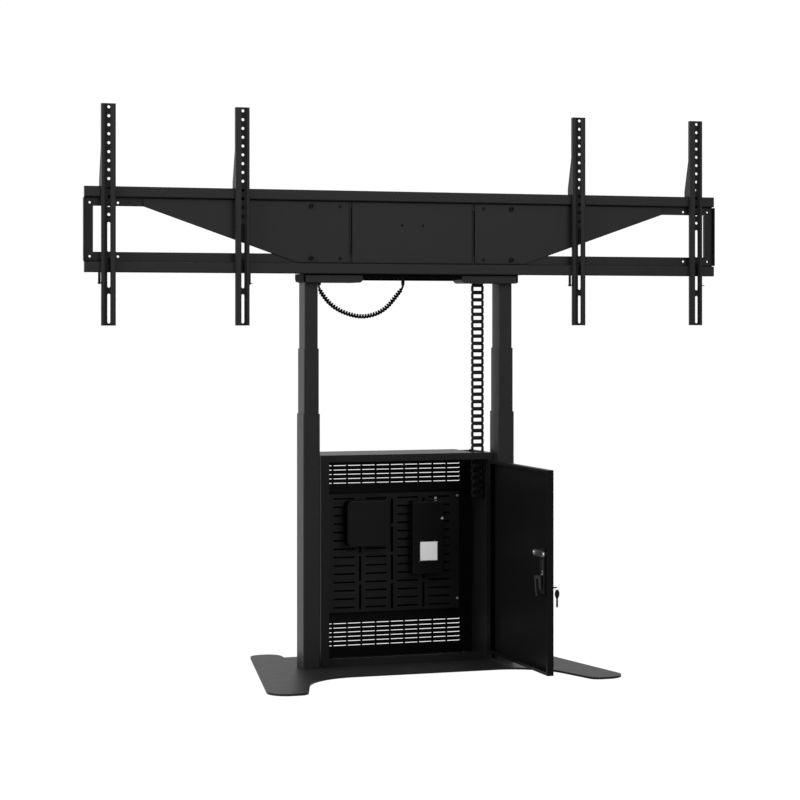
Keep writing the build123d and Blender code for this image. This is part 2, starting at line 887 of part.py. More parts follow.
def lock_screw(label, x, side):
    """A set screw through the tab, with its nut, that keeps the bracket on the rails."""
    place = (x + side * lock_screw_offset, screw_line_y)
    with BuildPart() as screw:
        screw_bottom = tab_top - bracket_sheet - lock_screw_stub
        with BuildSketch(Plane.XY.offset(screw_bottom)):
            with Locations(place):
                Circle(lock_screw_radius)
        extrude(amount=beam_bottom - fit_gap - screw_bottom)
        with BuildSketch(Plane.XY.offset(tab_top)):
            with Locations(place):
                RegularPolygon(lock_nut_radius, side_count=6)
        extrude(amount=lock_nut_height)
    screw.part.label = label
    export_step(screw.part, f"parts/{label}.step")


bracket_places = (-bracket_outer_x, -bracket_inner_x, bracket_inner_x, bracket_outer_x)
for number, (x, side) in enumerate(zip(bracket_places, (-1, 1, -1, 1)), start=1):
    screen_bracket(f"bracket_{number}", x, side)
    lock_screw(f"bracket_{number}_lock_screw", x, side)

# Cabinet shell: a sleeve open at the back, with a front frame whose edges are returned
cabinet_height = cabinet_top - plate_thickness
cabinet_mid_z = (cabinet_top + plate_thickness) / 2
opening_mid_x = (opening_left + opening_right) / 2
opening_mid_z = (opening_top + opening_bottom) / 2
opening_width = opening_right - opening_left
opening_height = opening_top - opening_bottom
wall_inner = cabinet_half - cabinet_sheet
with BuildPart() as cabinet_shell:
    with BuildSketch(front_plane(-cabinet_front)):
        with Locations((0, cabinet_mid_z)):
            Rectangle(2 * cabinet_half, cabinet_height)
    extrude(amount=-(cabinet_front + cabinet_rear))
    with BuildSketch(front_plane(-cabinet_front + cabinet_sheet)):
        with Locations((0, cabinet_mid_z)):
            Rectangle(2 * wall_inner, cabinet_height - 2 * cabinet_sheet)
    extrude(amount=-(cabinet_front + cabinet_rear), mode=Mode.SUBTRACT)
    with BuildSketch(front_plane(-cabinet_front)):
        with Locations((opening_mid_x, opening_mid_z)):
            Rectangle(opening_width + 2 * cabinet_sheet, opening_height + 2 * cabinet_sheet)
    extrude(amount=-return_depth)
    with BuildSketch(front_plane(-cabinet_front)):
        with Locations((opening_mid_x, opening_mid_z)):
            Rectangle(opening_width, opening_height)
    extrude(amount=-return_depth, mode=Mode.SUBTRACT)
    # The right stile is notched where the door's hinge leaves swing through it
    with BuildSketch(front_plane(-cabinet_front)):
        with Locations([((opening_right + wall_inner) / 2, height) for height in hinge_heights]):
            Rectangle(wall_inner - opening_right, 2 * stile_notch_half)
    extrude(amount=-return_depth, mode=Mode.SUBTRACT)
    # The cable spine drops through a notch in the rear right of the top
    with BuildSketch(Plane.XY.offset(cabinet_top - cabinet_sheet)):
        with Locations(((notch_left + wall_inner) / 2, (notch_front + cabinet_rear) / 2)):
            Rectangle(wall_inner - notch_left, cabinet_rear - notch_front)
    extrude(amount=cabinet_sheet, mode=Mode.SUBTRACT)
cabinet_shell.part.label = "cabinet_shell"
export_step(cabinet_shell.part, "parts/cabinet_shell.step")

with BuildPart() as cabinet_back:
    with BuildSketch(front_plane(back_panel_front)):
        with Locations((0, cabinet_mid_z)):
            Rectangle(2 * wall_inner, cabinet_height - 2 * cabinet_sheet)
        for rows, lowest in (
            (top_vent_rows, top_vent_height - (top_vent_rows - 1) * vent_row_pitch),
            (bottom_vent_rows, bottom_vent_height),
        ):
            with Locations((0, lowest + (rows - 1) * vent_row_pitch / 2)):
                with GridLocations(vent_column_pitch, vent_row_pitch, vent_columns, rows):
                    Rectangle(vent_length, vent_height, mode=Mode.SUBTRACT)
    extrude(amount=-cabinet_sheet)
cabinet_back.part.label = "cabinet_back"
export_step(cabinet_back.part, "parts/cabinet_back.step")

plate_mid = (mount_plate_top + mount_plate_bottom) / 2
plate_screw_places = [(s * plate_screw_x, h) for s in (-1, 1) for h in (plate_screw_top, plate_screw_bottom)]
with BuildPart() as mounting_plate:
    with BuildSketch(front_plane(mount_plate_front)):
        with Locations((0, plate_mid)):
            Rectangle(2 * mount_plate_half, mount_plate_top - mount_plate_bottom)
        with Locations((0, mount_top_row - (mount_rows - 1) * mount_row_pitch / 2)):
            with GridLocations(mount_slot_pitch, mount_row_pitch, mount_slot_columns, mount_rows):
                Rectangle(mount_slot_length, mount_slot_height, mode=Mode.SUBTRACT)
        upright_field = (upright_slot_rows - 1) * upright_slot_pitch + upright_slot_length
        with Locations((0, upright_bottom + upright_field / 2)):
            with GridLocations(mount_slot_pitch, upright_slot_pitch, upright_slot_columns, upright_slot_rows):
                Rectangle(upright_slot_width, upright_slot_length, mode=Mode.SUBTRACT)
    extrude(amount=-cabinet_sheet)
mounting_plate.part.label = "mounting_plate"
export_step(mounting_plate.part, "parts/mounting_plate.step")

with BuildPart() as plate_standoffs:
    with BuildSketch(front_plane(mount_plate_front + cabinet_sheet)):
        with Locations(plate_screw_places):
            Circle(spacer_radius)
    extrude(amount=-(back_panel_front - mount_plate_front - cabinet_sheet))
plate_standoffs.part.label = "plate_standoffs"
export_step(plate_standoffs.part, "parts/plate_standoffs.step")


with BuildPart() as media_box:
    with BuildSketch(front_plane(mount_plate_front)):
        with Locations(((media_left + media_right) / 2, (media_bottom + media_top) / 2)):
            RectangleRounded(media_right - media_left, media_top - media_bottom, media_radius)
    extrude(amount=box_depth)
    fillet(media_box.faces().sort_by(Axis.Y)[0].edges(), box_edge_radius)
    with BuildSketch(side_plane(media_left)):
        with Locations([(mount_plate_front - box_depth / 2, height) for height in port_heights]):
            Rectangle(port_width, port_height)
    extrude(amount=port_depth, mode=Mode.SUBTRACT)
media_box.part.label = "media_box"
export_step(media_box.part, "parts/media_box.step")

with BuildPart() as control_box:
    with BuildSketch(front_plane(mount_plate_front)):
        with Locations(((control_left + control_right) / 2, (control_bottom + control_top) / 2)):
            RectangleRounded(control_right - control_left, control_top - control_bottom, control_radius)
    extrude(amount=box_depth)
    fillet(control_box.faces().sort_by(Axis.Y)[0].edges(), box_edge_radius)
control_box.part.label = "control_box"
export_step(control_box.part, "parts/control_box.step")

with BuildPart() as cabinet_screws:
    with BuildSketch(front_plane(mount_plate_front)):
        with Locations([*plate_screw_places, (spare_screw_x, spare_screw_height)]):
            Circle(pan_head_radius)
    extrude(amount=pan_head_height)
    with BuildSketch(front_plane(mount_plate_front - box_depth)):
        with Locations((control_right - box_screw_inset, box_screw_height)):
            Circle(pan_head_radius)
    extrude(amount=pan_head_height)
    with BuildSketch(Plane.XY.offset(plate_thickness + cabinet_sheet)):
        with Locations(floor_screw_places):
            Circle(pan_head_radius)
    extrude(amount=pan_head_height)
cabinet_screws.part.label = "cabinet_screws"
export_step(cabinet_screws.part, "parts/cabinet_screws.step")

# Hinge barrels: a fixed knuckle above and below each door knuckle, webbed to the cabinet's side
with BuildPart() as hinge_barrels:
    for height in hinge_heights:
        knuckle_start = door_barrel_half + fit_gap
        for bottom in (height + knuckle_start, height - knuckle_start - fixed_barrel_length):
            with BuildSketch(Plane.XY.offset(bottom)):
                with Locations((pivot_x, pivot_y)):
                    Circle(barrel_radius)
                with Locations(((pivot_x + wall_inner) / 2, pivot_y)):
                    Rectangle(wall_inner - pivot_x, 2 * leaf_neck)
            extrude(amount=fixed_barrel_length)
        with BuildSketch(Plane.XY.offset(height - knuckle_start)):
            with Locations((pivot_x, pivot_y)):
                Circle(hinge_pin_radius)
        extrude(amount=2 * knuckle_start)
hinge_barrels.part.label = "hinge_barrels"
export_step(hinge_barrels.part, "parts/hinge_barrels.step")

with BuildPart() as hinge_leaves:
    for height in hinge_heights:
        with BuildSketch(Plane.XY.offset(height - door_barrel_half)):
            with Locations((pivot_x, pivot_y)):
                Circle(barrel_radius)
            with Locations((pivot_x, (pivot_y + door_hinge_y) / 2)):
                Rectangle(leaf_neck, pivot_y - door_hinge_y)
            leaf_mid_x = pivot_x + (leaf_front_set - leaf_back_set) / 2
            with Locations((leaf_mid_x, door_hinge_y + leaf_sheet / 2)):
                Rectangle(leaf_front_set + leaf_back_set, leaf_sheet)
            with Locations((pivot_x, pivot_y)):
                Circle(hinge_pin_radius + pin_clearance, mode=Mode.SUBTRACT)
        extrude(amount=2 * door_barrel_half)
hinge_leaves.part.label = "hinge_leaves"
export_step(hinge_leaves.part, "parts/hinge_leaves.step")

# Door: a folded pan with inward returns, a row of holes by the hinge and a slot for the housing
housing_mid = (housing_top + housing_bottom) / 2
housing_height = housing_top - housing_bottom
with BuildPart() as door_panel:
    with BuildSketch(side_plane(door_inner_x)):
        with Locations((door_mid_y, door_mid_z)):
            Rectangle(door_width, door_height)
    extrude(amount=door_thickness)
    with BuildSketch(side_plane(door_inner_x + door_sheet)):
        with Locations((door_mid_y, door_mid_z)):
            Rectangle(door_width - 2 * door_sheet, door_height - 2 * door_sheet)
    extrude(amount=door_thickness - 2 * door_sheet, mode=Mode.SUBTRACT)
    window_front = door_free_y + door_return
    window_back = door_hinge_y - door_hinge_return
    with BuildSketch(side_plane(door_inner_x)):
        with Locations(((window_front + window_back) / 2, door_mid_z)):
            Rectangle(window_back - window_front, door_height - 2 * door_return)
        with Locations(
            [
                (door_hinge_y - door_hole_inset, door_hole_bottom + door_hole_pitch * i)
                for i in range(door_hole_count)
            ]
        ):
            Circle(door_hole_radius)
    extrude(amount=door_sheet, mode=Mode.SUBTRACT)
    with BuildSketch(side_plane(door_outer_x - door_sheet)):
        with Locations((handle_axis_y, housing_mid)):
            Rectangle(2 * housing_half + 2 * fit_gap, housing_height + 2 * fit_gap)
    extrude(amount=door_sheet, mode=Mode.SUBTRACT)
door_panel.part.label = "door_panel"
export_step(door_panel.part, "parts/door_panel.step")

# Handle housing: a body through the door's slot, a rim outside, bores for spindle and plug
with BuildPart() as handle_base:
    with BuildSketch(side_plane(housing_inner_x)):
        with Locations((handle_axis_y, housing_mid)):
            RectangleRounded(2 * housing_half, housing_height, housing_rim)
    extrude(amount=housing_depth)
    with BuildSketch(side_plane(door_outer_x)):
        with Locations((handle_axis_y, housing_mid)):
            RectangleRounded(
                2 * (housing_half + housing_rim_side), housing_height + 2 * housing_rim, 2 * housing_rim
            )
    extrude(amount=housing_rim_proud)
    with BuildSketch(side_plane(housing_inner_x)):
        with Locations((handle_axis_y, spindle_height)):
            Circle(spindle_radius + spindle_clearance)
        with Locations((handle_axis_y, lock_height)):
            Circle(plug_radius + plug_clearance)
    extrude(amount=housing_depth + housing_rim_proud, mode=Mode.SUBTRACT)
handle_base.part.label = "handle_base"
export_step(handle_base.part, "parts/handle_base.step")

with BuildPart() as handle_clamp:
    with BuildSketch(side_plane(housing_inner_x - clamp_sheet)):
        with Locations((clamp_centre_y, (clamp_top + clamp_bottom) / 2)):
            SlotOverall(clamp_top - clamp_bottom, clamp_width, rotation=90)
    extrude(amount=clamp_sheet)
handle_clamp.part.label = "handle_clamp"
export_step(handle_clamp.part, "parts/handle_clamp.step")

with BuildPart() as clamp_screws:
    with BuildSketch(side_plane(housing_inner_x - clamp_sheet - clamp_screw_height)):
        with Locations(
            (clamp_screw_y, clamp_screw_mid - clamp_screw_pitch / 2),
            (clamp_screw_y, clamp_screw_mid + clamp_screw_pitch / 2),
        ):
            Circle(clamp_screw_radius)
    extrude(amount=clamp_screw_height)
clamp_screws.part.label = "clamp_screws"
export_step(clamp_screws.part, "parts/clamp_screws.step")

# Handle grip: a tapered paddle on a spindle that runs through the housing
grip_inner_x = rim_outer_x + grip_gap
with BuildPart() as handle_grip:
    with BuildSketch(side_plane(grip_inner_x)):
        with Locations((handle_axis_y, spindle_height)):
            Circle(grip_hub_radius)
        with Locations((handle_axis_y, spindle_height - grip_length)):
            Circle(grip_end_radius)
        make_hull()
    extrude(amount=grip_thickness)
    fillet(handle_grip.faces().sort_by(Axis.X)[-1].edges(), grip_edge_radius)
    with BuildSketch(side_plane(rotor_inner_x + rotor_sheet)):
        with Locations((handle_axis_y, spindle_height)):
            Circle(spindle_radius)
    extrude(amount=grip_inner_x - rotor_inner_x - rotor_sheet)
handle_grip.part.label = "handle_grip"
export_step(handle_grip.part, "parts/handle_grip.step")

with BuildPart() as latch_cam:
    with BuildSketch(side_plane(rotor_inner_x)):
        with Locations([(handle_axis_y + end * rotor_half, spindle_height) for end in (-1, 1)]):
            Circle(rotor_end_radius)
        with Locations((handle_axis_y, spindle_height)):
            Circle(rotor_hub_radius)
        make_hull()
    extrude(amount=rotor_sheet)
latch_cam.part.label = "latch_cam"
export_step(latch_cam.part, "parts/latch_cam.step")

with BuildPart() as cam_screws:
    with BuildSketch(side_plane(rotor_inner_x - rotor_pin_height)):
        with Locations([(handle_axis_y + end * rotor_half, spindle_height) for end in (-1, 1)]):
            Circle(rotor_pin_radius)
    extrude(amount=rotor_pin_height)
    fillet(cam_screws.faces().group_by(Axis.X)[0].edges(), rotor_pin_round)
cam_screws.part.label = "cam_screws"
export_step(cam_screws.part, "parts/cam_screws.step")

# Lock plug, the lever on its inner end and the key in its outer end
plug_outer_x = rim_outer_x + plug_proud
with BuildPart() as lock_plug:
    with BuildSketch(side_plane(lever_inner_x + lever_sheet)):
        with Locations((handle_axis_y, lock_height)):
            Circle(plug_radius)
    extrude(amount=plug_outer_x - lever_inner_x - lever_sheet)
lock_plug.part.label = "lock_plug"
export_step(lock_plug.part, "parts/lock_plug.step")

with BuildPart() as lock_lever:
    tip = (handle_axis_y - lever_tip_back, lock_height + lever_tip_rise)
    elbow = (handle_axis_y + lever_elbow_reach, lock_height + lever_elbow_rise)
    foot = (handle_axis_y + lever_foot_reach, lock_height - lever_foot_drop)
    with BuildSketch(side_plane(lever_inner_x)):
        with BuildLine():
            Polyline(tip, elbow, foot)
        trace(line_width=lever_band)
        with BuildLine():
            Polyline(
                (handle_axis_y - lever_hub_radius, lock_height),
                tip,
                ((tip[0] + elbow[0]) / 2, (tip[1] + elbow[1]) / 2),
                (handle_axis_y + lever_hub_radius, lock_height),
                close=True,
            )
        make_face()
        with Locations((handle_axis_y, lock_height)):
            Circle(lever_hub_radius)
    extrude(amount=lever_sheet)
lock_lever.part.label = "lock_lever"
export_step(lock_lever.part, "parts/lock_lever.step")

with BuildPart() as key:
    with BuildSketch(Plane.XY.offset(lock_height - key_sheet / 2)):
        with Locations((key_bow_x, handle_axis_y)):
            Circle(key_bow_radius)
        with Locations(((plug_outer_x + key_bow_x) / 2, handle_axis_y)):
            Rectangle(key_bow_x - plug_outer_x, key_neck_width)
        with Locations((key_bow_x + key_hole_shift, handle_axis_y)):
            Circle(key_hole_radius, mode=Mode.SUBTRACT)
    extrude(amount=key_sheet)
key.part.label = "key"
export_step(key.part, "parts/key.step")

# Ring through the key's hole, and the spare key that hangs from it, turned a little
ring_x = key_bow_x + key_hole_shift + ring_radius - ring_inset
ring_z = lock_height - ring_drop
with BuildPart() as key_ring:
    with BuildSketch(Plane.XY.offset(ring_z)):
        with Locations((ring_x + ring_radius, handle_axis_y)):
            Circle(ring_wire_radius)
    ring_axis = Axis((ring_x, handle_axis_y, ring_z), (0, 1, 0))
    revolve(axis=ring_axis)
key_ring.part.label = "key_ring"
export_step(key_ring.part, "parts/key_ring.step")

spare_hole_z = ring_z - ring_radius + ring_wire_radius + spare_hang_gap - spare_hole_radius
spare_plane = Plane(
    origin=(ring_x, handle_axis_y, spare_hole_z),
    x_dir=(cos(radians(spare_turn)), sin(radians(spare_turn)), 0),
    z_dir=(sin(radians(spare_turn)), -cos(radians(spare_turn)), 0),
)
with BuildPart() as spare_key:
    bow_drop = spare_bow_height / 2 - spare_hole_drop
    with BuildSketch(spare_plane):
        with Locations((0, -bow_drop)):
            Ellipse(spare_bow_width / 2, spare_bow_height / 2)
        with Locations((0, -bow_drop - spare_bow_height / 2 - spare_blade_length / 2 + spare_hole_drop)):
            Rectangle(spare_blade_width, spare_blade_length + 2 * spare_hole_drop)
        Circle(spare_hole_radius, mode=Mode.SUBTRACT)
    extrude(amount=spare_sheet / 2, both=True)
spare_key.part.label = "spare_key"
export_step(spare_key.part, "parts/spare_key.step")

# Cable spine: ring links that hang one under the other, each with two bulging side plates
spine_top = cross_beam_bottom - fit_gap
link_half = spine_width / 2 - spine_bulge
with BuildPart() as cable_spine:
    for i in range(spine_count):
        rung_bottom = spine_top - spine_pitch * i - spine_rung_height
        with BuildSketch(Plane.XY.offset(rung_bottom)):
            with Locations((spine_x, spine_y)):
                RectangleRounded(2 * link_half, spine_depth, spine_corner)
                Rectangle(2 * (link_half - spine_wall), spine_depth - 2 * spine_wall, mode=Mode.SUBTRACT)
        extrude(amount=spine_rung_height)
        side_length = spine_pitch - spine_rung_height - fit_gap
        side_bottom = rung_bottom - side_length
        with BuildSketch(front_plane(spine_y - spine_side_depth / 2)):
            for side in (-1, 1):
                edge = spine_x + side * link_half
                inner_edge = edge - side * spine_side_sheet
                with BuildLine():
                    ThreePointArc(
                        (edge, rung_bottom),
                        (edge + side * spine_bulge, rung_bottom - side_length / 2),
                        (edge, side_bottom),
                    )
                    Line((edge, side_bottom), (inner_edge, side_bottom))
                    ThreePointArc(
                        (inner_edge, side_bottom),
                        (inner_edge + side * spine_bulge, rung_bottom - side_length / 2),
                        (inner_edge, rung_bottom),
                    )
                    Line((inner_edge, rung_bottom), (edge, rung_bottom))
                make_face()
        extrude(amount=-spine_side_depth)
cable_spine.part.label = "cable_spine"
export_step(cable_spine.part, "parts/cable_spine.step")

with BuildPart() as spine_bracket:
    with BuildSketch(side_plane(spine_x - link_half)):
        with BuildLine():
            Polyline(
                (cross_beam_back, cross_beam_top),
                (cross_beam_back, cross_beam_bottom),
                (spine_front + spine_depth, cross_beam_bottom),
                (spine_front + spine_depth, cross_beam_bottom + spine_bracket_sheet),
                (cross_beam_back + spine_bracket_sheet, cross_beam_bottom + spine_bracket_sheet),
                (cross_beam_back + spine_bracket_sheet, cross_beam_top),
                close=True,
            )
        make_face()
    extrude(amount=2 * link_half)
spine_bracket.part.label = "spine_bracket"
export_step(spine_bracket.part, "parts/spine_bracket.step")

# Cord glands: one under the left shoe, one from the beam's top down through the open channel
cord_left_x = cord_route[0][0]
cord_right_x = cord_route[-1][0]
gland_bottom = shoe_bottom - gland_length
with BuildPart() as cord_glands:
    with BuildSketch(Plane.XY.offset(gland_bottom)):
        with Locations((cord_left_x, 0)):
            Circle(left_gland_radius)
    extrude(amount=gland_length)
    with BuildSketch(Plane.XY.offset(gland_bottom)):
        with Locations((cord_right_x, 0)):
            Circle(right_gland_radius)
    extrude(amount=inner_top - gland_bottom)
cord_glands.part.label = "cord_glands"
export_step(cord_glands.part, "parts/cord_glands.step")


def route_point(t):
    """A point of the cord's centreline: a clamped quadratic B-spline over the route's points.
    Its pieces join midway between neighbouring points, apart from both ends."""
    pieces = len(cord_route) - 2
    index = min(int(t * pieces), pieces - 1)
    u = t * pieces - index
    first, middle, last = (Vector(cord_route[index + k][0], 0, cord_route[index + k][1]) for k in range(3))
    start = first if index == 0 else (first + middle) * 0.5
    end = last if index == pieces - 1 else (middle + last) * 0.5
    return start * (1 - u) ** 2 + middle * 2 * u * (1 - u) + end * u**2


# The centreline is measured on short steps, so that the curls lie evenly along its length
route_steps = 2000
route_points = [route_point(i / route_steps) for i in range(route_steps + 1)]
route_lengths = [0.0]
for i in range(route_steps):
    route_lengths.append(route_lengths[-1] + (route_points[i + 1] - route_points[i]).length)
cord_length = route_lengths[-1]
straight_end = 2 * wire_radius


def centre_at(distance):
    """The centreline's point and direction at a distance along it."""
    low = 0
    high = route_steps
    while high - low > 1:
        half = (low + high) // 2
        if route_lengths[half] <= distance:
            low = half
        else:
            high = half
    step = route_lengths[high] - route_lengths[low]
    share = min(max((distance - route_lengths[low]) / step, 0.0), 1.0)
    point = route_points[low] * (1 - share) + route_points[high] * share
    return point, (route_points[high] - route_points[low]).normalized()


def curl_point(turn):
    """The wire's centre after a number of turns: a helix round the centreline whose radius
    grows from nothing over the first two turns and shrinks again over the last two."""
    distance = straight_end + (cord_length - 2 * straight_end) * turn / curl_count
    point, along = centre_at(distance)
    across = Vector(0, 1, 0)
    outward = across.cross(along)
    fade = min(turn / curl_fade, (curl_count - turn) / curl_fade, 1.0)
    radius = curl_radius * fade * fade * (3 - 2 * fade)
    angle = 2 * pi * turn
    return point + (across * cos(angle) + outward * sin(angle)) * radius


def curl_direction(turn):
    """The wire's direction, from two points a little before and after."""
    small = 1 / 200
    ahead = curl_point(min(turn + small, curl_count))
    behind = curl_point(max(turn - small, 0))
    return (ahead - behind).normalized()


# Each half turn of the wire is a biarc: two arcs that share a tangent where they meet
half_turns = 2 * curl_count
wire_ends = [curl_point(k / 2) for k in range(half_turns + 1)]
wire_tangents = [curl_direction(k / 2) for k in range(half_turns + 1)]

# Both ends run straight and square to their gland
upward = Vector(0, 0, 1)
wire_ends[0] = route_points[0] - upward * straight_end
wire_ends[-1] = route_points[-1] - upward * straight_end
wire_tangents[0] = upward * -1
wire_tangents[-1] = upward
wire_edges = [Edge.make_line(route_points[0], wire_ends[0])]
for k in range(half_turns):
    chord = wire_ends[k + 1] - wire_ends[k]
    both = wire_tangents[k] + wire_tangents[k + 1]
    a = 2 * (wire_tangents[k].dot(wire_tangents[k + 1]) - 1)
    b = -2 * chord.dot(both)
    c = chord.dot(chord)
    reach = (-b - sqrt(b * b - 4 * a * c)) / (2 * a)
    reach = reach if reach > 0 else (-b + sqrt(b * b - 4 * a * c)) / (2 * a)
    joint = (wire_ends[k] + wire_tangents[k] * reach + wire_ends[k + 1] - wire_tangents[k + 1] * reach) * 0.5
    wire_edges.append(Edge.make_tangent_arc(wire_ends[k], wire_tangents[k], joint))
    middle_tangent = wire_edges[-1].tangent_at(1)
    wire_edges.append(Edge.make_tangent_arc(joint, middle_tangent, wire_ends[k + 1]))
wire_edges.append(Edge.make_line(wire_ends[-1], route_points[-1]))

with BuildPart() as coiled_cord:
    with BuildLine() as cord_path:
        add(Wire(wire_edges))
    with BuildSketch(Plane(origin=route_points[0], z_dir=wire_tangents[0])):
        Circle(wire_radius)
    sweep(path=cord_path.wires()[0])
coiled_cord.part.label = "coiled_cord"
export_step(coiled_cord.part, "parts/coiled_cord.step")

# The wire's least gap to its own neighbouring turns, on points a sixteenth of a turn apart
samples = [curl_point(k / 16) for k in range(16 * curl_count + 1)]
least_gap = min(
    (samples[i] - samples[j]).length
    for i in range(0, len(samples), 2)
    for j in range(i + 12, min(i + 40, len(samples)))
)
print("cord centreline length", round(cord_length, 1), "curls", curl_count)
print("cord wire length", round(sum(edge.length for edge in wire_edges), 1))
print("least gap of the cord to itself", round(least_gap - 2 * wire_radius, 2), "limit", least_cord_gap)
arc_radii = [edge.radius for edge in wire_edges if edge.geom_type == GeomType.CIRCLE]
print("tightest arc of the cord", round(min(arc_radii), 2))
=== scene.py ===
# %% [markdown]
# A lift for two screens
# This lesson dresses a motorised lift that was designed in solid modelling. The designed pieces
# stay where they are, and each takes a finish. A few pieces are made anew here, because a rigid
# solid shows them too plainly: the curly cord and its two strain reliefs, the lock screws, the
# links of the cable spine, the spare key, the lips of the vents and a blank sticker. Light and
# camera come last.

# %% Load the designed pieces
import json
import math

import bpy
import numpy as np
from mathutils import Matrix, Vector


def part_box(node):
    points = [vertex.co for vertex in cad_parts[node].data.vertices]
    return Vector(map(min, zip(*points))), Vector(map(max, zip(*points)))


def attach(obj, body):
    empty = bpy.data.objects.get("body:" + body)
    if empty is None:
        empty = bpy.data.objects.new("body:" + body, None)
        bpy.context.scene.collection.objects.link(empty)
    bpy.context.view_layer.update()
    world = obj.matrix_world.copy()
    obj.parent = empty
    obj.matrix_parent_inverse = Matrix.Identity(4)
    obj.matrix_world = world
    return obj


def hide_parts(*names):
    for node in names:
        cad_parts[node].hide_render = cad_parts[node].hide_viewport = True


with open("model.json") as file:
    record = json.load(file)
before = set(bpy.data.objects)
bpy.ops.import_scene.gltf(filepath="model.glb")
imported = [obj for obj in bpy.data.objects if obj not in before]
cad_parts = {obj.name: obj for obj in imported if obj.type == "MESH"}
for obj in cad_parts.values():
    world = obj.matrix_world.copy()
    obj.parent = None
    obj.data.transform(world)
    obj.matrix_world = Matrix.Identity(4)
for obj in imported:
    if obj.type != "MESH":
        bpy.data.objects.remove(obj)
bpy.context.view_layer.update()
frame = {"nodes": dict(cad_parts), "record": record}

# %% [markdown]
# Shader maths as plain expressions
# A material is a net of nodes, which soon becomes hard to read. One small class stands for a
# socket, so that 1 - mask or cloud * 0.4 + 0.3 adds the Math nodes by itself. A second class holds
# one material and has one method for any other node.


# %% Sockets that can be added and multiplied
class Shade:
    """An output socket. Sums and products of shades become Math nodes of the same material."""

    def __init__(self, paint, socket):
        self.paint = paint
        self.socket = socket

    def maths(self, operation, first, second):
        return self.paint.add("ShaderNodeMath", {"operation": operation}, {0: first, 1: second})

    def __add__(self, other):
        return self.maths("ADD", self, other)

    def __sub__(self, other):
        return self.maths("SUBTRACT", self, other)

    def __rsub__(self, other):
        return self.maths("SUBTRACT", other, self)

    def __mul__(self, other):
        return self.maths("MULTIPLY", self, other)

    def __abs__(self):
        return self.maths("ABSOLUTE", self, 0.0)

    def most(self, other):
        return self.maths("MAXIMUM", self, other)

    def least(self, other):
        return self.maths("MINIMUM", self, other)


# %% One material and its nodes
millimetre = 0.001
bevel_samples = 4
plain_detail = 2.0
# The places of the Mix node's colour sockets
first_colour, second_colour, mixed_colour = 6, 7, 2


def grey(level):
    """An opaque grey."""
    return (level, level, level, 1)


class Paint:
    """A material or world whose nodes are added one by one."""

    def __init__(self, owner):
        owner.use_nodes = True
        self.owner = owner
        self.tree = owner.node_tree
        self.tree.nodes.clear()

    def add(self, kind, settings, inputs, output=0):
        """Add a node: its settings come first, then a value or a link for each named input."""
        node = self.tree.nodes.new(kind)
        for name, value in settings.items():
            setattr(node, name, value)
        for name, value in inputs.items():
            if isinstance(value, Shade):
                self.tree.links.new(value.socket, node.inputs[name])
            else:
                node.inputs[name].default_value = value
        return Shade(self, node.outputs[output]) if len(node.outputs) else node

    def noise(self, place, size, detail=plain_detail):
        """Cloudy noise whose spots are about size metres across."""
        inputs = {"Vector": place, "Scale": 1 / size, "Detail": detail}
        return self.add("ShaderNodeTexNoise", {}, inputs)

    def between(self, share, dark, pale):
        """A grey that runs from dark to pale as share runs from 0 to 1."""
        inputs = {0: share, first_colour: grey(dark), second_colour: grey(pale)}
        return self.add("ShaderNodeMix", {"data_type": "RGBA"}, inputs, mixed_colour)

    def bare_edge(self, radius):
        """The normal, rounded at corners by radius, and how far it turns from the true one."""
        rounded = self.add("ShaderNodeBevel", {"samples": bevel_samples}, {"Radius": radius})
        true = self.add("ShaderNodeNewGeometry", {}, {}, "Normal")
        pair = {0: rounded, 1: true}
        cosine = self.add("ShaderNodeVectorMath", {"operation": "DOT_PRODUCT"}, pair, "Value")
        return rounded, 1 - cosine

    def rays(self, *kinds):
        """1 for a ray of any of these kinds, such as Camera or Glossy, and 0 for the others."""
        found = [self.add("ShaderNodeLightPath", {}, {}, f"Is {kind} Ray") for kind in kinds]
        either = found[0]
        for other in found[1:]:
            either = either.most(other)
        return either


# %% [markdown]
# Powder-coated steel
# Nearly everything here is sheet steel with a baked powder coat. Up close such a coat is a skin of
# fine pimples, a little rougher in some places than in others, and brighter along the edges where
# it is worn thin. A bevel node supplies the rounded edge, because a pressed sheet never has a knife
# edge, and noise in real millimetres makes the pimples.

# %% Coated steel
edge_radius = 0.8 * millimetre
edge_wear = 2.0
rim_width = 2.2 * millimetre
rim_gain = 7.0
# The grey of the painted shade along folds, seams and hole edges
painted_shade_grey = 0.001
cloud_size, cloud_detail, cloud_share = 260 * millimetre, 4.0, 0.6
smear_size, smear_detail, smear_share = 35 * millimetre, 3.0, 0.4
worn_share = 0.5
worn_polish = 0.06
roughness_swing = 0.08
bump_strength = 0.5
# A band of painted shade down the middle of each bracket: its half width, its soft side and its
# strength
channel_half = 9.5 * millimetre
channel_side = 2.0 * millimetre
channel_shade = 0.55
bracket_names = ("bracket_1", "bracket_2", "bracket_3", "bracket_4")
bracket_middles = [(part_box(name)[0][0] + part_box(name)[1][0]) / 2 for name in bracket_names]
print("middles of the brackets", [round(middle, 4) for middle in bracket_middles])


def finish_of(name):
    """An empty material to add nodes to."""
    return Paint(bpy.data.materials.new(name))


def close_with(paint, surface):
    """Give the material its surface, and hand it over."""
    paint.add("ShaderNodeOutputMaterial", {}, {"Surface": surface})
    return paint.owner


def painted_channel_shade(paint, place, middles):
    """Painted shade along a shallow channel down the middle of each upright, with soft sides."""
    across = paint.add("ShaderNodeSeparateXYZ", {}, {"Vector": place}, "X")
    offsets = [abs(across - middle) for middle in middles]
    nearest = offsets[0]
    for offset in offsets[1:]:
        nearest = nearest.least(offset)
    channel_shade_share = (channel_half - nearest) * (1 / channel_side)
    return channel_shade_share.most(0.0).least(1.0) * channel_shade


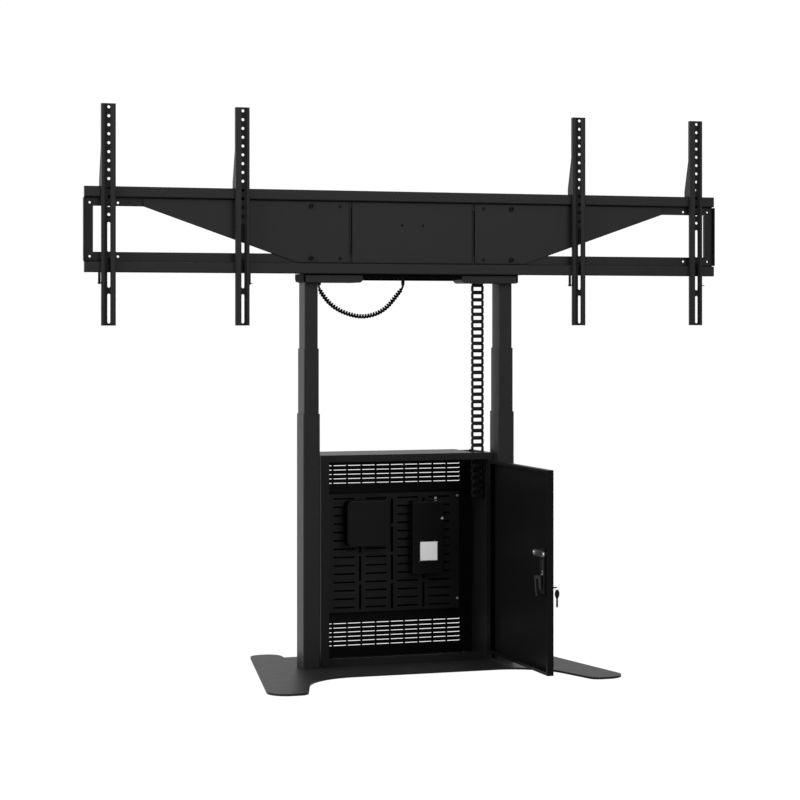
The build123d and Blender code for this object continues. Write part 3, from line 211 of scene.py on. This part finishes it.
def coated(
    name,
    dark,
    pale,
    rough,
    pimple,
    height,
    gloss,
    metal=0.0,
    rim=0.0,
    fold=edge_radius,
    middles=(),
):
    """A coat between two greys, with pimples of that size and height and brighter, worn edges.
    A rim is the width of the painted shade along folds, seams and hole edges. The fold is the
    radius that edges are rounded by. The middles are those of uprights with painted shade along a
    channel."""
    paint = finish_of(name)
    place = paint.add("ShaderNodeTexCoord", {}, {}, "Object")
    pimples = paint.noise(place, pimple)
    cloud = paint.noise(place, cloud_size, cloud_detail)
    smear = paint.noise(place, smear_size, smear_detail)
    rounded, turned = paint.bare_edge(fold)
    worn = (turned * edge_wear).least(1.0)
    tone = (cloud * cloud_share + smear * smear_share + worn * worn_share).least(1.0)
    roughness = smear * roughness_swing + (rough - roughness_swing / 2) - worn * worn_polish
    relief = {
        "Height": pimples,
        "Distance": height,
        "Strength": bump_strength,
        "Normal": rounded,
    }
    surface = {
        "Base Color": paint.between(tone, dark, pale),
        "Roughness": roughness,
        "Normal": paint.add("ShaderNodeBump", {}, relief),
        "Metallic": metal,
        "Specular IOR Level": gloss,
    }
    skin = paint.add("ShaderNodeBsdfPrincipled", {}, surface)
    # Painted shade: where a rim is given, the coat is mixed towards near-black diffuse along folds,
    # seams and hole edges, standing in for the shadow there
    if rim:
        shade = paint.add("ShaderNodeBsdfDiffuse", {}, {"Color": grey(painted_shade_grey)})
        painted_edge_shade = (paint.bare_edge(rim)[1] * rim_gain).least(1.0)
        # Painted shade also darkens the channel down the middle of each bracket
        if middles:
            painted_edge_shade = painted_edge_shade.most(painted_channel_shade(paint, place, middles))
        skin = paint.add("ShaderNodeMixShader", {}, {0: painted_edge_shade, 1: skin, 2: shade})
    return close_with(paint, skin)


# The sizes of the pimples, then their heights
fine = 0.7 * millimetre
coarse = 1.3 * millimetre
shallow = 0.04 * millimetre
deep = 0.10 * millimetre
# The widths of the painted shade along the edges of the beam plates and the brackets
beam_rim = 1.6 * rim_width
bracket_rim = 2 * rim_width
uprights = {"rim": bracket_rim, "middles": bracket_middles}
finishes = {
    "base_steel": coated("base_coat", 0.006, 0.013, 0.44, coarse, deep, 0.085),
    "column_steel": coated("column_coat", 0.004, 0.008, 0.38, fine, shallow, 0.14),
    "cabinet_steel": coated("cabinet_coat", 0.0015, 0.004, 0.42, fine, shallow, 0.045),
    "beam_steel": coated("beam_coat", 0.008, 0.014, 0.45, fine, shallow, 0.10, rim=beam_rim),
    "bracket_steel": coated("bracket_coat", 0.007, 0.014, 0.42, fine, shallow, 0.10, **uprights),
    "handle_metal": coated("casting_coat", 0.004, 0.009, 0.34, fine, shallow, 0.16),
    "lock_steel": coated("black_plating", 0.010, 0.025, 0.32, fine, shallow, 0.30),
    "black_screw": coated("black_oxide", 0.002, 0.006, 0.30, fine, shallow, 0.06, rim=rim_width),
}
print("coats", sorted(finishes))

# %% [markdown]
# Plastics and plain metal
# Moulded plastic is smoother than a powder coat and shows a fine spark-eroded grain. The bright
# screws are zinc plated, the ring is nickel, and the hidden spindles are plain turned steel.

# %% Plastics and plain metal
grain = 0.4 * millimetre
box_fold = 2.6 * millimetre
faint = 0.02 * millimetre
finishes |= {
    "box_plastic": coated("box_plastic", 0.003, 0.007, 0.24, grain, faint, 0.07, fold=box_fold),
    "spine_plastic": coated("spine_plastic", 0.002, 0.006, 0.38, grain, faint, 0.08),
    "gland_plastic": coated("gland_plastic", 0.002, 0.006, 0.42, grain, faint, 0.08),
    "guide_plastic": coated("guide_plastic", 0.010, 0.020, 0.50, grain, faint, 0.20),
    "cord_rubber": coated("cord_jacket", 0.001, 0.004, 0.48, grain, faint, 0.04),
    "spare_black": coated("key_head", 0.002, 0.005, 0.35, grain, faint, 0.08),
    "inner_steel": coated("turned_steel", 0.40, 0.52, 0.36, grain, faint, 0.5, metal=1.0),
    "bright_screw": coated("zinc_plate", 0.55, 0.72, 0.30, grain, faint, 0.5, metal=1.0),
    "key_nickel": coated("nickel", 0.58, 0.70, 0.24, grain, faint, 0.5, metal=1.0),
}

# %% Each designed piece takes the finish of its slot, but the cross beam is painted dark for its shade, the shell and the mounting plate lighter for their light, and the key takes the key head's plastic
own_and_painted_finish = {
    # Painted shade: the cross beam's coat is near black for the shadow it lies in under the rail
    "cross_beam": coated("beam_painted_shade", 0.001, 0.002, 0.50, fine, shallow, 0.01),
    # Painted light: the shell and the mounting plate take lighter copies of the cabinet coat, which
    # the door keeps so that its inner face, lit by the left lamp, stays dark
    "cabinet_shell": coated("shell_coat_painted_lighter", 0.006, 0.010, 0.40, fine, shallow, 0.065),
    "mounting_plate": coated("plate_coat_painted_lighter", 0.006, 0.010, 0.42, fine, shallow, 0.08),
    "key": finishes["spare_black"],
}
for row in frame["record"]["subparts"]:
    mesh = frame["nodes"][row["node"]].data
    mesh.materials.clear()
    mesh.materials.append(own_and_painted_finish.get(row["node"], finishes[row["material_slot"]]))

# %% [markdown]
# The route of the curly cord
# The cord carries current to the moving beam. It leaves a gland under the left shoe, sags, and goes
# up into a second gland under the cross beam. Its centreline is a smooth spline with the route's
# points as control points. Blender works the spline out, and the curls are then wound round it.

# %% The cord's centreline, with the route in millimetres across and up
cord_route = (
    (-268.5, 1117.0),
    (-268.5, 1109.0),
    (-256.0, 1087.0),
    (-229.0, 1057.0),
    (-190.0, 1036.0),
    (-140.0, 1024.0),
    (-92.0, 1033.0),
    (-58.0, 1055.0),
    (-31.0, 1088.0),
    (-11.2, 1112.0),
    (-11.2, 1117.0),
)
route = np.array([(x, 0, z) for x, z in cord_route]) * millimetre
guide_steps = 40
spline_order = 3


def spline_curve(name, points, steps):
    """A curve object with one open NURBS spline that starts and ends on its end points."""
    data = bpy.data.curves.new(name, "CURVE")
    data.dimensions = "3D"
    data.resolution_u = steps
    spline = data.splines.new("NURBS")
    spline.points.add(len(points) - 1)
    spline.points.foreach_set("co", np.column_stack([points, np.ones(len(points))]).ravel())
    spline.order_u = spline_order
    spline.use_endpoint_u = True
    made = bpy.data.objects.new(name, data)
    bpy.context.scene.collection.objects.link(made)
    return made


def points_on(curve):
    """The points along a curve that has no thickness, as Blender's own mesh of it gives them."""
    bpy.context.view_layer.update()
    mesh = bpy.data.meshes.new_from_object(curve)
    points = np.empty(len(mesh.vertices) * 3)
    mesh.vertices.foreach_get("co", points)
    bpy.data.meshes.remove(mesh)
    return points.reshape(-1, 3)


guide = spline_curve("cord_guide", route, guide_steps)
centreline = points_on(guide)
bpy.data.objects.remove(guide)
strides = np.linalg.norm(np.diff(centreline, axis=0), axis=1)
travelled = np.concatenate([[0], np.cumsum(strides)])
print("centreline length", round(travelled[-1], 4))

# %% [markdown]
# Winding the curls
# A curly cord is a helix whose axis is the centreline. At each place the wire stands one curl
# radius out, in a direction that goes round once per curl. The radius grows from nothing over the
# first two curls, and shrinks again over the last two, so that both ends come out of their glands
# straight.

# %% The curly cord
wire_radius = 3.0 * millimetre
wire_roundness = 4
wire_steps = 3
curl_radius = 4.2 * millimetre
curl_count = 38
curl_fade = 2.0
points_per_curl = 20
straight_end = 3.6 * millimetre


def curls():
    """Wire = centre + radius * (across * cos(turn) + outward * sin(turn)), where across is +Y,
    outward is across x direction, and radius = curl radius * f * f * (3 - 2 f), with f the fade
    from either end."""
    turn = np.linspace(0, curl_count, curl_count * points_per_curl + 1)
    distance = straight_end + (travelled[-1] - 2 * straight_end) * turn / curl_count
    places = [np.interp(distance, travelled, centreline[:, k]) for k in range(3)]
    centre = np.column_stack(places)
    along = np.gradient(centre, axis=0)
    along /= np.linalg.norm(along, axis=1, keepdims=True)
    across = np.broadcast_to(np.array([0.0, 1.0, 0.0]), along.shape)
    outward = np.cross(across, along)
    fade = np.minimum(np.minimum(turn, curl_count - turn) / curl_fade, 1)
    radius = (curl_radius * fade * fade * (3 - 2 * fade))[:, None]
    angle = (2 * np.pi * turn)[:, None]
    wire = centre + radius * (across * np.cos(angle) + outward * np.sin(angle))
    wire[0] = route[0] - (0, 0, straight_end)
    wire[-1] = route[-1] - (0, 0, straight_end)
    return np.concatenate([route[:1], wire, route[-1:]])


cord = spline_curve("curly_cord", curls(), wire_steps)
cord.data.bevel_depth = wire_radius
cord.data.bevel_resolution = wire_roundness
cord.data.use_fill_caps = True
cord.data.materials.append(finishes["cord_rubber"])
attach(cord, "carriage")
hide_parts("coiled_cord")

# %% [markdown]
# Meshes from rings and from sheets
# Two shapes make up all the other pieces. A stack of rings, closed by a pole at either end, is a
# turned piece or a rounded block. A grid of points is a sheet. Both number their faces with array
# indexing rather than with loops.


# %% Rings and sheets
def mesh_piece(name, points, faces):
    """A smooth-shaded object with these points and faces."""
    mesh = bpy.data.meshes.new(name)
    mesh.from_pydata(points.reshape(-1, 3).tolist(), [], faces)
    mesh.shade_smooth()
    made = bpy.data.objects.new(name, mesh)
    bpy.context.scene.collection.objects.link(made)
    return made


def closed_rings(name, rings, poles):
    """Stacks of rings, as points [stack, level, side], closed by the poles [stack, end]."""
    stacks, levels, sides = rings.shape[:3]
    stack = np.arange(stacks)[:, None, None] * levels * sides
    first = stack + np.arange(levels - 1)[None, :, None] * sides
    column = np.arange(sides)[None, None]
    after = (column + 1) % sides
    second = first + sides
    walls = np.stack([first + column, first + after, second + after, second + column], -1)
    base = stack[:, :, 0]
    crown = base + (levels - 1) * sides
    pole = stacks * levels * sides + 2 * np.arange(stacks)[:, None]
    low_ends = np.broadcast_arrays(pole, base + after[0], base + column[0])
    high_ends = np.broadcast_arrays(pole + 1, crown + column[0], crown + after[0])
    faces = walls.reshape(-1, 4).tolist()
    for ends in (low_ends, high_ends):
        faces += np.stack(ends, -1).reshape(-1, 3).tolist()
    points = np.concatenate([rings.reshape(-1, 3), poles.reshape(-1, 3)])
    return mesh_piece(name, points, faces)


def sheets(name, grids):
    """Grids of points [sheet, row, column]. Their rows run downwards, so they face forwards."""
    index = np.arange(grids[..., 0].size).reshape(grids.shape[:3])
    corners = [index[:, 1:, :-1], index[:, 1:, 1:], index[:, :-1, 1:], index[:, :-1, :-1]]
    return mesh_piece(name, grids, np.stack(corners, -1).reshape(-1, 4).tolist())


# %% [markdown]
# The strain reliefs
# A strain relief is a turned shape, so it is one profile carried once round an axis. Its ribs are a
# wave along the height, which lets it bend a little. The surface is a function of height and angle.

# %% Strain reliefs
turned_sides = 48
relief_steps_per_rib = 12
groove_share = 0.14
taper_share = 0.25
wire_fit = 1.3


def turned_piece(name, centre, profile):
    """Point(h, a) = centre + (r(h) cos a, r(h) sin a, z(h)), closed by a pole at either end."""
    angle = np.linspace(0, 2 * np.pi, turned_sides, endpoint=False)
    radius, height = profile.T
    x = centre[0] + radius[:, None] * np.cos(angle)
    y = centre[1] + radius[:, None] * np.sin(angle)
    z = np.broadcast_to(height[:, None], x.shape)
    poles = np.array([(*centre, height[0]), (*centre, height[-1])])
    return closed_rings(name, np.stack([x, y, z], axis=-1)[None], poles[None])


def relief_profile(low, high, radius, ribs):
    """r(h) = radius - groove * (1 - cos(2 pi ribs h)) / 2, drawn in to the wire at the low end."""
    share = np.linspace(0, 1, relief_steps_per_rib * ribs + 1)
    groove = groove_share * radius
    ring = radius - groove * (1 - np.cos(2 * np.pi * ribs * share)) / 2
    taper = np.minimum(share / taper_share, 1)
    neck = wire_radius * wire_fit
    body = neck + (ring - neck) * taper * (2 - taper)
    return np.column_stack([body, low + (high - low) * share])


gland_low, gland_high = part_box("cord_glands")
left_top = 1124.0 * millimetre
left_radius, left_ribs = 7.0 * millimetre, 2
right_radius, right_ribs = 5.5 * millimetre, 7
reliefs = (
    ("left_strain_relief", route[0][0], left_top, left_radius, left_ribs),
    ("right_strain_relief", route[-1][0], gland_high.z, right_radius, right_ribs),
)
for name, x, top, radius, ribs in reliefs:
    relief = turned_piece(name, (x, 0.0), relief_profile(gland_low.z, top, radius, ribs))
    relief.data.materials.append(finishes["gland_plastic"])
    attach(relief, "carriage")
    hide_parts("cord_glands")

# %% [markdown]
# The lock screws of the brackets
# Under the bottom rail each bracket has a screw that holds it against the rail. Its threads show as
# a row of small teeth beside the bracket. A turned profile with a wave along its height gives them.

# %% Lock screws
thread_count = 9
thread_share = 0.22
steps_per_thread = 14


def thread_profile(low, high, radius):
    """r(h) = radius (1 - t (1 + cos(2 pi threads h)) / 2), with t the share cut away."""
    share = np.linspace(0, 1, steps_per_thread * thread_count + 1)
    waves = 1 - thread_share * (1 + np.cos(2 * np.pi * thread_count * share)) / 2
    return np.column_stack([radius * waves, low + (high - low) * share])


for number, bracket in enumerate(bracket_names, 1):
    low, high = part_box(f"{bracket}_lock_screw")
    middle = ((low[0] + high[0]) / 2, (low[1] + high[1]) / 2)
    threads = thread_profile(low[2], high[2], (high[0] - low[0]) / 2)
    lock_screw = turned_piece(f"threaded_screw_{number}", middle, threads)
    lock_screw.data.materials.append(finishes["black_screw"])
    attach(lock_screw, f"arm_{number}")
    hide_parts(f"{bracket}_lock_screw")
    print(lock_screw.name, "box", [round(v, 4) for v in (*low, *high)])

# %% [markdown]
# The cable spine
# The spine is thirty plastic links. Each is a deep ring, joined to the next by two side plates.
# Seen from the front they make a ladder of dark rungs. A block whose plan is a superellipse, with
# its top and bottom edges drawn in, stands for rung and plate alike, and all the blocks are made in
# one step.

# %% Rounded blocks
block_sides = 24
crease_angle = 50


def rounded_blocks(name, centres, halves, drawn, levels, squareness):
    """Point(block, h, a) = centre + (w c(a), d s(a), t(h)), where w and d are the half sizes times
    the drawing-in at that level, and c and s are cosine and sine raised to the squareness."""
    centres, halves = np.array(centres), np.array(halves)
    drawn, levels = np.array(drawn), np.array(levels)
    angle = np.linspace(0, 2 * np.pi, block_sides, endpoint=False)
    cos = np.sign(np.cos(angle)) * np.abs(np.cos(angle)) ** squareness
    sin = np.sign(np.sin(angle)) * np.abs(np.sin(angle)) ** squareness
    half_plan = halves[:, None, None, :2] * drawn[None, :, None, None]
    plan = np.stack([cos, sin], -1)[None, None] * half_plan
    half_rise = halves[:, None, None, 2:] * levels[None, :, None, None]
    rise = np.broadcast_to(half_rise, (*plan.shape[:3], 1))
    rings = centres[:, None, None] + np.concatenate([plan, rise], -1)
    ends = np.array([(0, 0, levels[0]), (0, 0, levels[-1])])
    made = closed_rings(name, rings, centres[:, None] + halves[:, None] * ends)
    made.data.set_sharp_from_angle(angle=math.radians(crease_angle))
    return made


# %% Links of the cable spine
link_pitch = 21.8 * millimetre
link_count = 30
link_squareness = 0.35
rung_half = np.array([17.3, 7.0, 5.6]) * millimetre
side_half = np.array([3.1, 4.6, 8.6]) * millimetre
side_place = 16.3 * millimetre
block_levels = (-1.0, -0.9, -0.6, 0.6, 0.9, 1.0)
block_drawn = (0.80, 0.95, 1.0, 1.0, 0.95, 0.80)
spine_low, spine_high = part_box("cable_spine")
spine_middle = (np.array(spine_low) + np.array(spine_high)) / 2
rung_height = spine_high[2] - rung_half[2] - link_pitch * np.arange(link_count)
rungs = np.column_stack([np.tile(spine_middle[:2], (link_count, 1)), rung_height])
below = np.array([0, 0, link_pitch / 2])
plates = [rungs[:-1] - below + np.array([side * side_place, 0, 0]) for side in (-1, 1)]
plate_halves = np.tile(side_half, (2 * link_count - 2, 1))
link_centres = np.concatenate([rungs, *plates])
link_halves = np.concatenate([np.tile(rung_half, (link_count, 1)), plate_halves])
spine = rounded_blocks(
    "spine_links", link_centres, link_halves, block_drawn, block_levels, link_squareness
)
spine.data.materials.append(finishes["spine_plastic"])
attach(spine, "carriage")
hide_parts("cable_spine")

# %% [markdown]
# The spare key
# It hangs on the ring with its moulded head towards the front. The outline is a circle that runs
# into a blade, and the blade's width goes up and down with the cuts. Both are shares of the key's
# half width, and run along levels from -1 at the blade's tip to 1 at the top of the head.

# %% Spare key
key_half_width = 7.2 * millimetre
key_half_thickness = 1.5 * millimetre
key_steps = 40
key_squareness = 0.8
head_middle = 0.50
head_only = 0.93
blade_width = 0.46
cut_depth = 0.08
cut_rate = 9
key_low, key_high = (np.array(corner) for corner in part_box("spare_key"))
key_middle = (key_low + key_high) / 2
key_half = np.array([key_half_width, key_half_thickness, (key_high[2] - key_low[2]) / 2])
key_levels = np.linspace(-1, 1, key_steps + 1)
head = np.sqrt(np.clip(1 - ((key_levels - head_middle) / (1 - head_middle)) ** 2, 0, 1))
blade = blade_width - cut_depth * np.abs(np.sin(cut_rate * key_levels)) * (key_levels < 0)
outline = np.where(key_levels < head_only, np.maximum(head, blade), head)
spare = rounded_blocks(
    "hanging_key", [key_middle], [key_half], outline, key_levels, key_squareness
)
spare.data.materials.append(finishes["spare_black"])
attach(spare, "ring")
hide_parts("spare_key")
print("spare key box", key_low, key_high)

# %% [markdown]
# The vent lips
# Each vent slot is pressed, not sawn, so its upper edge is rolled in and narrows the slot. One
# rolled strip runs along each row of slots, inside the thickness of the back panel.

# %% Vent lips
vent_pitch = 13.15 * millimetre
slot_half = 2.25 * millimetre
vent_half = 221.0 * millimetre
top_field, top_count = 528.5 * millimetre, 5
bottom_field, bottom_count = 42.2 * millimetre, 6
lip_height = 2.6 * millimetre
lip_roll = 0.8 * millimetre
lip_steps = 8
lip_columns = 40
top_rows = top_field + vent_pitch * np.arange(top_count)
bottom_rows = bottom_field + vent_pitch * np.arange(bottom_count)
vent_rows = np.concatenate([top_rows, bottom_rows])
panel_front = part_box("cabinet_back")[0][1]


def vent_lips():
    """Point(row, s, x) = (x, panel + roll (1 - cos(pi s)) / 2, top of the slot - height s)."""
    share = np.linspace(0, 1, lip_steps + 1)[None, :, None]
    x = np.linspace(-vent_half, vent_half, lip_columns + 1)[None, None]
    z = vent_rows[:, None, None] + slot_half - lip_height * share
    y = panel_front + lip_roll * (1 - np.cos(np.pi * share)) / 2
    return np.stack(np.broadcast_arrays(x, y, z), -1)


lips = sheets("vent_lips", vent_lips())
lips.data.materials.append(finishes["cabinet_steel"])
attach(lips, "root")

# %% [markdown]
# The blank sticker
# A pale sticker sits on the control box. It carries nothing. Paper is not quite flat: it lifts a
# fraction of a millimetre at its corners, and that is enough to catch the light.

# %% Blank sticker
sticker_left = 76.0 * millimetre
sticker_right = 132.0 * millimetre
sticker_bottom = 292.0 * millimetre
sticker_top = 350.0 * millimetre
sticker_lift = 0.25 * millimetre
sticker_paper = 0.15 * millimetre
sticker_steps = 24


def sticker():
    """Point(u, v): x and z run straight from edge to edge, and y = face - lift * (|u| |v|) ^ 3."""
    spread = np.linspace(-1, 1, sticker_steps + 1)
    u, v = np.meshgrid(spread, spread[::-1])
    x = (sticker_left + sticker_right) / 2 + u * (sticker_right - sticker_left) / 2
    z = (sticker_bottom + sticker_top) / 2 + v * (sticker_top - sticker_bottom) / 2
    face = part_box("control_box")[0].y - sticker_paper
    y = face - sticker_lift * np.abs(u * v) ** 3
    return np.stack([x, y, z], axis=-1)


paper = sheets("blank_sticker", sticker()[None])
wall = paper.modifiers.new("paper", "SOLIDIFY")
wall.thickness = sticker_paper
wall.offset = 1.0
paper.data.materials.append(coated("sticker_paper", 0.84, 0.93, 0.55, grain, faint, 0.30))
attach(paper, "root")

# %% [markdown]
# Floor and light
# The lift stands on a white sweep. Camera and mirror-like rays see plain white there and in the
# sky, while matt surfaces are lit by a dimmer sky, so that black steel stays black. A broad lamp on
# the left draws out the side faces of the columns.

# %% Floor and world
floor_half = 14.0
floor_grey = 0.30
shown_share = 0.93
shown_level = 1.06
backdrop_level = 1.02
studio_level = 0.55
sweep = np.array([(-1, -1, 0), (1, -1, 0), (1, 1, 0), (-1, 1, 0)]) * floor_half
floor = mesh_piece("floor", sweep, [(0, 1, 2, 3)])
ground = finish_of("white_floor")
seen = ground.rays("Camera", "Glossy")
matt = ground.add("ShaderNodeBsdfDiffuse", {}, {"Color": grey(floor_grey)})
glow = ground.add("ShaderNodeEmission", {}, {"Color": grey(1), "Strength": shown_level})
floor_mix = {0: seen * shown_share, 1: matt, 2: glow}
floor_skin = ground.add("ShaderNodeMixShader", {}, floor_mix)
floor.data.materials.append(close_with(ground, floor_skin))

world = bpy.data.worlds.new("studio")
bpy.context.scene.world = world
sky = Paint(world)
open_sky = sky.rays("Camera", "Glossy", "Transmission")
strength = open_sky * (backdrop_level - studio_level) + studio_level
shell = sky.add("ShaderNodeBackground", {}, {"Color": grey(1), "Strength": strength})
sky.add("ShaderNodeOutputWorld", {}, {"Surface": shell})


# %% Lamps, each with its place, its width in metres and its watts
def lamp(name, place, target, size, watts):
    """A square area lamp at place that faces target."""
    data = bpy.data.lights.new(name, "AREA")
    data.size = size
    data.energy = watts
    made = bpy.data.objects.new(name, data)
    made.location = place
    aim = np.array(target) - np.array(place)
    tilt = math.atan2(math.hypot(aim[0], aim[1]), -aim[2])
    made.rotation_euler = (tilt, 0, math.atan2(aim[1], aim[0]) - math.pi / 2)
    bpy.context.scene.collection.objects.link(made)


lit_middle = (0.0, 0.0, 0.8)
lamp("left_lamp", (-4.2, -0.8, 2.2), lit_middle, 2.6, 300)
lamp("front_lamp", (1.6, -5.0, 3.4), lit_middle, 3.0, 150)
lamp("top_lamp", (0.5, 0.5, 4.6), lit_middle, 3.0, 90)

# %% [markdown]
# The camera
# The view was worked out from the picture's own straight edges: how far the horizon lies above the
# middle, how fast parallel edges draw together, and how much of the image one metre fills.

# %% Camera
image_size = 800
focal_pixels = 2210.5
horizon_row = 320.49
view_turn = 18.0
view_place = (-2.0319, -6.1917, 1.0144)
camera_data = bpy.data.cameras.new("camera")
camera_data.sensor_width = 36.0
camera_data.lens = camera_data.sensor_width * focal_pixels / image_size
camera_data.shift_y = (horizon_row - image_size / 2) / image_size
camera = bpy.data.objects.new("camera", camera_data)
camera.location = view_place
camera.rotation_euler = (math.pi / 2, 0, -math.radians(view_turn))
bpy.context.scene.collection.objects.link(camera)
bpy.context.scene.camera = camera
bpy.context.scene.view_settings.view_transform = "Standard"
